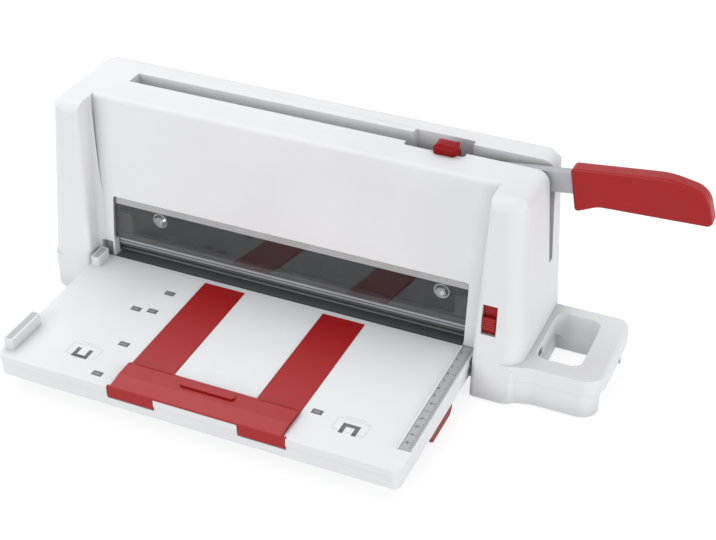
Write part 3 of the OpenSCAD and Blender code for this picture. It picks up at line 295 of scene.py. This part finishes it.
def moulded(name, colour, roughness, grain_scale, grain_mm, gloss=0.5):
    """Injection-moulded plastic: fine spark-eroded grain, slight cloudiness, handling marks and painted
    shade in its hollows.
    """
    m = Nodes(name)
    cloud = m.noise(scale=9.0, detail=4.0)
    # The base colour gets painted shade in gaps and hollows
    m.feed(m.painted_hollow_shade(m.drift(cloud, colour, dark=0.965, pale=1.03)), "Base Color")
    smear = m.noise(scale=26.0, detail=5.0, rough=0.65)
    m.dull(smear, roughness, less=0.07, more=0.09)
    grain = m.noise(scale=grain_scale, detail=2.0, rough=0.6)
    flow = m.noise(scale=14.0, detail=2.0)
    waves = m.bump(flow, depth_mm=0.05, strength=0.25)
    m.feed(m.bump(grain, depth_mm=grain_mm, strength=0.5, under=waves), "Normal")
    m.set(IOR=PLASTIC_IOR, Specular_IOR_Level=gloss)
    return m.material


def glowing(name, colour, glow):
    """Diffuser of a lamp: a pale moulding with a faint light of its own."""
    material = moulded(name, colour, roughness=0.4, grain_scale=1800.0, grain_mm=0.01)
    shader = material.node_tree.nodes["Principled BSDF"]
    shader.inputs["Emission Color"].default_value = opaque(PURE_WHITE)
    shader.inputs["Emission Strength"].default_value = glow
    return material


def brushed(name, colour, roughness, stretch):
    """Metal with fine lines along one direction."""
    m = Nodes(name)
    lines = m.noise(scale=60.0, detail=4.0, rough=0.6, stretch=stretch)
    m.feed(m.drift(lines, colour, dark=0.86, pale=1.1, edge=0.25), "Base Color")
    m.dull(lines, roughness, less=0.06, more=0.1)
    m.feed(m.bump(lines, depth_mm=0.02, strength=0.35), "Normal")
    m.set(Metallic=1.0)
    return m.material


def painted(name, colour, roughness, gloss=0.5):
    """Powder coat or ink with a faint orange peel."""
    m = Nodes(name)
    cloud = m.noise(scale=12.0, detail=4.0)
    m.feed(m.drift(cloud, colour, dark=0.94, pale=1.05), "Base Color")
    peel = m.noise(scale=700.0, detail=2.0)
    smear = m.noise(scale=40.0, detail=5.0)
    m.dull(smear, roughness, less=0.06, more=0.08)
    m.feed(m.bump(peel, depth_mm=0.03, strength=0.4), "Normal")
    m.set(IOR=PLASTIC_IOR, Specular_IOR_Level=gloss)
    return m.material


def lined(name, axis, start, reach_mm, greys, roughness, gloss=0.35):
    """Dark coated strip whose grey changes along one axis, from a start over some millimetres; bright
    steps in its greys can be painted highlights.
    """
    m = Nodes(name)
    split = m.add("ShaderNodeSeparateXYZ")
    m.link(m.place(), split.inputs["Vector"])
    along = m.add("ShaderNodeMapRange")
    along.inputs["From Min"].default_value = start
    along.inputs["From Max"].default_value = start + reach_mm * MM
    m.link(split.outputs[axis], along.inputs["Value"])
    stops = [(at / abs(reach_mm), shade(COOL_CAST, grey)) for at, grey in greys]
    m.feed(m.ramp(along.outputs["Result"], stops), "Base Color")
    wear = m.noise(scale=60.0, detail=4.0, rough=0.6, stretch=(0.02, 1.0, 1.0))
    m.dull(wear, roughness, less=0.07, more=0.08)
    m.feed(m.bump(wear, depth_mm=0.02, strength=0.35), "Normal")
    m.set(IOR=PLASTIC_IOR, Specular_IOR_Level=gloss)
    return m.material


def smoked(name):
    """Tinted clear sheet, polished, with a faint film of dust."""
    m = Nodes(name)
    film = m.noise(scale=18.0, detail=4.0)
    m.feed(m.between(film, SMOKE, SMOKE_DUST), "Base Color")
    m.feed(m.span(film, GUARD_POLISHED, GUARD_DUSTY), "Roughness")
    m.set(IOR=GUARD_IOR, Alpha=GUARD_ALPHA)
    return m.material


# Plastics
white = moulded("white_moulding", WHITE, roughness=0.54, grain_scale=2600.0, grain_mm=0.012, gloss=0.38)
red = moulded("red_moulding", RED, roughness=0.36, grain_scale=2200.0, grain_mm=0.015, gloss=0.32)
# The red darkened as painted shade, for the knob and legs
shaded_red = moulded("shaded_red_moulding", SHADED_RED, roughness=0.36, grain_scale=2200.0, grain_mm=0.015,
                   gloss=0.12)
grey_cap = moulded("grey_moulding", CAP_GREY, roughness=0.45, grain_scale=2400.0, grain_mm=0.012)
stick = moulded("stick_plastic", STICK, roughness=0.5, grain_scale=1500.0, grain_mm=0.02)
rubber = moulded("rubber", RUBBER, roughness=0.75, grain_scale=1200.0, grain_mm=0.04, gloss=0.3)
ruler = moulded("ruler_plastic", RULER_GREY, roughness=0.5, grain_scale=2400.0, grain_mm=0.01)
lamp_strip = glowing("lamp_strip", LAMP_WHITE, LAMP_GLOW)
smoke = smoked("smoked_sheet")

# Metals
steel = brushed("bright_steel", STEEL, roughness=0.28, stretch=(0.2, 1.0, 1.0))
chrome = brushed("chrome", CHROME, roughness=0.22, stretch=(1.0, 1.0, 1.0))
bronze = brushed("bronze", BRONZE, roughness=0.35, stretch=(1.0, 0.1, 1.0))
blade_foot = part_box("blade")[0].z
blade_steel = lined("blade_steel", "Z", blade_foot, BLADE_HEIGHT, BLADE_GREYS, roughness=0.6, gloss=0.06)
press_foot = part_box("press_bar")[0].z
# The press bar's bright lines are painted highlights
press_metal = lined("press_metal", "Z", press_foot, PRESS_FACE, PRESS_GREYS_AND_HIGHLIGHTS, roughness=0.47)
bed_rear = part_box("bed_strip")[1].y
# The bed's bright line is a painted highlight, and its dark grey is partly painted shade under the press
# bar
bed_paint_and_painted_light = lined("bed_paint_and_painted_light", "Y", bed_rear, -BED_WIDTH, BED_GREYS_AND_HIGHLIGHT, roughness=0.45)

# Paints and inks
lever_paint = painted("lever_paint", LEVER_GREY, roughness=0.38)
dark_paint = painted("dark_paint", DARK_STEEL, roughness=0.6, gloss=0.08)
ink = painted("print_ink", INK, roughness=0.6)
icon_ink = painted("icon_ink", ICON_INK, roughness=0.6)
faint_ink = painted("faint_ink", FAINT_INK, roughness=0.6)
pale_ink = painted("pale_ink", PALE_INK, roughness=0.6)

FINISH = {
    "base_moulding": white, "front_cover": white, "rear_cover": white, "table_panel": white,
    "side_fences": white, "fence_pads": grey_cap, "ruler_strip": ruler, "bed_strip": bed_paint_and_painted_light,
    "handle_grip": red, "paper_guide": red, "lamp_switch": red, "lock_knob": shaded_red,
    "left_leg": shaded_red, "right_leg": shaded_red,
    "lever_arm": lever_paint,
    "base_plate": dark_paint, "frame_plate": dark_paint, "frame_brackets": dark_paint,
    "blade_carrier": dark_paint,
    "guide_studs": steel, "frame_screws": steel, "lever_shaft": steel, "shaft_clip": steel,
    "cover_screws": steel, "hinge_pins": steel, "drive_pin": steel, "lock_lug": steel,
    "handle_screws": steel, "leg_pins": steel,
    "blade": blade_steel, "blade_bolts": chrome,
    "press_bar": press_metal, "press_pad": rubber, "rubber_feet": rubber,
    "pivot_bush": bronze, "cutting_stick": stick,
    "safety_guard": smoke, "cut_line_lamp": lamp_strip,
}


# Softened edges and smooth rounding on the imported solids, as modifiers
def smooth_group(limit_degrees):
    """Shades faces smooth and keeps the edges sharp that fold by more than the limit."""
    tree = bpy.data.node_groups.new("smooth_by_angle", "GeometryNodeTree")
    tree.interface.new_socket("Geometry", in_out="INPUT", socket_type="NodeSocketGeometry")
    tree.interface.new_socket("Geometry", in_out="OUTPUT", socket_type="NodeSocketGeometry")
    start = tree.nodes.new("NodeGroupInput")
    end = tree.nodes.new("NodeGroupOutput")
    angle = tree.nodes.new("GeometryNodeInputMeshEdgeAngle")
    flat = tree.nodes.new("FunctionNodeCompare")
    flat.operation = "LESS_EQUAL"
    flat.inputs[1].default_value = math.radians(limit_degrees)
    faces = tree.nodes.new("GeometryNodeSetShadeSmooth")
    faces.domain = "FACE"
    edges = tree.nodes.new("GeometryNodeSetShadeSmooth")
    edges.domain = "EDGE"
    tree.links.new(start.outputs[0], faces.inputs["Geometry"])
    tree.links.new(faces.outputs[0], edges.inputs["Geometry"])
    tree.links.new(angle.outputs["Unsigned Angle"], flat.inputs[0])
    tree.links.new(flat.outputs[0], edges.inputs["Shade Smooth"])
    tree.links.new(edges.outputs[0], end.inputs[0])
    return tree


SMOOTH = {angle: smooth_group(angle) for angle in (FOLD_DEGREES, COVER_FOLD_DEGREES)}


def soften(obj, radius_mm, fold_degrees):
    """Welds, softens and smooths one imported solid."""
    weld = obj.modifiers.new("weld", "WELD")
    weld.merge_threshold = WELD_MM * MM
    if radius_mm:
        bevel = obj.modifiers.new("edge", "BEVEL")
        bevel.width = radius_mm * MM
        bevel.segments = EDGE_STEPS
        bevel.limit_method = "ANGLE"
        bevel.angle_limit = math.radians(fold_degrees + EDGE_MARGIN_DEGREES)
        bevel.use_clamp_overlap = True
    smooth = obj.modifiers.new("smooth", "NODES")
    smooth.node_group = SMOOTH[fold_degrees]
    normals = obj.modifiers.new("normals", "WEIGHTED_NORMAL")
    normals.keep_sharp = True


for name, finish in FINISH.items():
    obj = nodes[name]
    obj.data.materials.clear()
    obj.data.materials.append(finish)
    fold = COVER_FOLD_DEGREES if name.endswith("_cover") else FOLD_DEGREES
    soften(obj, EDGE_RADIUS_MM.get(name, 0.0), fold)


# Print on the table and the ruler, as thin raised films
class Film:
    """Collects flat bars, in millimetres from an origin on one level plane, into one thin mesh."""

    def __init__(self, origin, thick_mm):
        self.origin = origin
        self.thick = thick_mm * MM
        self.points = []
        self.faces = []

    def bar(self, x0, y0, x1, y1):
        """A flat bar between two opposite corners."""
        first = len(self.points)
        for rise in (0.0, self.thick):
            for x, y in ((x0, y0), (x1, y0), (x1, y1), (x0, y1)):
                self.points.append(self.origin + Vector((x * MM, y * MM, rise)))
        sides = ((3, 2, 1, 0), (4, 5, 6, 7), (0, 1, 5, 4), (1, 2, 6, 5), (2, 3, 7, 6), (3, 0, 4, 7))
        self.faces += [tuple(first + i for i in side) for side in sides]

    def block(self, x, y, w, h):
        """A bar by its front left corner, width and height."""
        self.bar(x, y, x + w, y + h)

    def frame(self, x, y, w, h, t):
        """Four bars of one thickness round a rectangle."""
        self.bar(x, y, x + w, y + t)
        self.bar(x, y + h - t, x + w, y + h)
        self.bar(x, y + t, x + t, y + h - t)
        self.bar(x + w - t, y + t, x + w, y + h - t)

    def digit(self, text, x, y, w, h, t):
        """One plain digit of up to seven strokes."""
        middle = y + h / 2
        spots = (
            (x, y + h - t, x + w, y + h),
            (x, middle, x + t, y + h),
            (x + w - t, middle, x + w, y + h),
            (x, middle - t / 2, x + w, middle + t / 2),
            (x, y, x + t, middle),
            (x + w - t, y, x + w, middle),
            (x, y, x + w, y + t),
        )
        for drawn, spot in zip(STROKES[text], spots):
            if drawn == "1":
                self.bar(*spot)

    def make(self, name, finish, body):
        mesh = bpy.data.meshes.new(name)
        mesh.from_pydata(self.points, [], self.faces)
        mesh.materials.append(finish)
        obj = bpy.data.objects.new(name, mesh)
        bpy.context.scene.collection.objects.link(obj)
        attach(obj, body)


def label(blocks, signs, x, y):
    """A dark block about a point, with its pale signs."""
    left = x - LABEL_W / 2
    front = y - LABEL_H / 2
    blocks.block(left, front, LABEL_W, LABEL_H)
    for i in range(LABEL_SIGNS):
        sign = left + LABEL_RIM + i * (LABEL_W - 2 * LABEL_RIM) / LABEL_SIGNS
        signs.block(sign, front + LABEL_RIM, SIGN_W, LABEL_H - 2 * LABEL_RIM)


def icon(icons, lines, x, y, open_side):
    """A plain U about a point, with its frame and dashes."""
    left = x - ICON_W / 2
    front = y - ICON_H / 2
    leg = ICON_H - ICON_BAR
    bridge_y = front if open_side < 0 else front + leg
    legs_y = front + ICON_BAR if open_side < 0 else front
    icons.block(left, bridge_y, ICON_W, ICON_BAR)
    icons.block(left, legs_y, ICON_BAR, leg)
    icons.block(left + ICON_W - ICON_BAR, legs_y, ICON_BAR, leg)
    lines.frame(left - FRAME_BESIDE, front + FRAME_INSET, ICON_W + 2 * FRAME_BESIDE, ICON_H + FRAME_EXTRA,
                FRAME_LINE)
    for i in range(DASHES):
        dash = left - DASH_HALF + i * DASH_STEP
        lines.block(dash, front + ICON_H + DASH_BEHIND, 2 * DASH_HALF, DASH_LINE)


def table_print():
    low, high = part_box("table_panel")
    # The fences stand on the table's upper face
    origin = Vector(((low.x + high.x) / 2, low.y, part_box("side_fences")[0].z))
    blocks = Film(origin, PRINT_THICK)
    signs = Film(origin, SIGN_THICK)
    icons = Film(origin, PRINT_THICK)
    lines = Film(origin, PRINT_THICK)
    for x, y in LABELS:
        label(blocks, signs, x, y)
    for x, y, open_side in ICONS:
        icon(icons, lines, x, y, open_side)
    blocks.make("table_marks", icon_ink, "table")
    signs.make("table_signs", pale_ink, "table")
    icons.make("table_icons", icon_ink, "table")
    lines.make("table_lines", faint_ink, "table")


def ruler_print():
    low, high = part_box("ruler_strip")
    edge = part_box("blade")[0].y
    film = Film(Vector((low.x, edge, high.z)), SCALE_THICK)
    width = (high.x - low.x) / MM
    near = (edge - high.y) / MM
    far = (edge - low.y) / MM
    for i in range(int(near / TICK_STEP) + 1, int(far / TICK_STEP)):
        at = i * TICK_STEP
        whole = i % TICKS_PER_CM == 0
        reach = TICK_LONG if whole else TICK_SHORT
        film.block(width - reach - TICK_MARGIN, -at - TICK_LINE / 2, reach, TICK_LINE)
        if whole:
            for k, text in enumerate(str(i // TICKS_PER_CM)):
                left = DIGIT_MARGIN + DIGIT_STEP * k
                film.digit(text, left, -at - DIGIT_H / 2, DIGIT_W, DIGIT_H, DIGIT_LINE)
    film.make("ruler_scale", ink, "table")


table_print()
ruler_print()


# Stage: pale floor, soft light, white background
def seen_level(tree, light, seen):
    """One strength for what lights the object, another for what camera, gloss and glass see."""
    path = tree.nodes.new("ShaderNodeLightPath")
    looked_at = path.outputs["Is Camera Ray"]
    for ray in ("Is Glossy Ray", "Is Transmission Ray"):
        either = tree.nodes.new("ShaderNodeMath")
        either.operation = "MAXIMUM"
        tree.links.new(looked_at, either.inputs[0])
        tree.links.new(path.outputs[ray], either.inputs[1])
        looked_at = either.outputs[0]
    level = tree.nodes.new("ShaderNodeMapRange")
    level.inputs["To Min"].default_value = light
    level.inputs["To Max"].default_value = seen
    tree.links.new(looked_at, level.inputs["Value"])
    return level.outputs["Result"]


def floor_material():
    """Pale floor that keeps the object's shadow."""
    m = Nodes("floor")
    m.tree.nodes.remove(m.shader)
    glow = m.add("ShaderNodeEmission")
    m.link(seen_level(m.tree, FLOOR_LIGHT, FLOOR_SEEN), glow.inputs["Strength"])
    matt = m.add("ShaderNodeBsdfDiffuse")
    matt.inputs["Color"].default_value = opaque(FLOOR_GREY)
    both = m.add("ShaderNodeAddShader")
    m.link(glow.outputs[0], both.inputs[0])
    m.link(matt.outputs[0], both.inputs[1])
    m.link(both.outputs[0], m.tree.nodes["Material Output"].inputs["Surface"])
    return m.material


def floor():
    half = FLOOR_HALF
    mesh = bpy.data.meshes.new("floor")
    corners = [(-half, -half, 0.0), (half, -half, 0.0), (half, half, 0.0), (-half, half, 0.0)]
    mesh.from_pydata(corners, [], [(0, 1, 2, 3)])
    obj = bpy.data.objects.new("floor", mesh)
    bpy.context.scene.collection.objects.link(obj)
    mesh.materials.append(floor_material())


def world():
    made = bpy.data.worlds.new("studio")
    bpy.context.scene.world = made
    made.use_nodes = True
    tree = made.node_tree
    back = tree.nodes["Background"]
    back.inputs["Color"].default_value = opaque(PURE_WHITE)
    tree.links.new(seen_level(tree, WORLD_LIGHT, WORLD_SEEN), back.inputs["Strength"])


def lamp_panel(name, place, aim, size, watts):
    """A rectangular soft lamp that looks at a point."""
    data = bpy.data.lights.new(name, "AREA")
    data.shape = "RECTANGLE"
    data.size = size[0]
    data.size_y = size[1]
    data.energy = watts
    obj = bpy.data.objects.new(name, data)
    bpy.context.scene.collection.objects.link(obj)
    obj.location = place
    obj.rotation_euler = (Vector(aim) - Vector(place)).to_track_quat("-Z", "Y").to_euler()


def camera():
    data = bpy.data.cameras.new("camera")
    data.sensor_fit = "HORIZONTAL"
    data.sensor_width = SENSOR_WIDTH_MM
    data.lens = FOCAL_PX / PHOTO_WIDTH_PX * SENSOR_WIDTH_MM
    data.clip_start = CAMERA_NEAR
    obj = bpy.data.objects.new("camera", data)
    bpy.context.scene.collection.objects.link(obj)
    right = Vector((math.cos(CAMERA_AZIMUTH), math.sin(CAMERA_AZIMUTH), 0.0))
    ahead = Vector((-math.sin(CAMERA_AZIMUTH) * math.cos(CAMERA_ELEVATION),
                    math.cos(CAMERA_AZIMUTH) * math.cos(CAMERA_ELEVATION), -math.sin(CAMERA_ELEVATION)))
    up = right.cross(ahead)
    turn = Matrix((right, up, -ahead)).transposed()
    obj.matrix_world = Matrix.Translation(CAMERA_PLACE) @ turn.to_4x4()
    bpy.context.scene.camera = obj


floor()
world()
for name, settings in LAMPS.items():
    lamp_panel(name, **settings)
camera()
bpy.context.scene.view_settings.view_transform = "Standard"
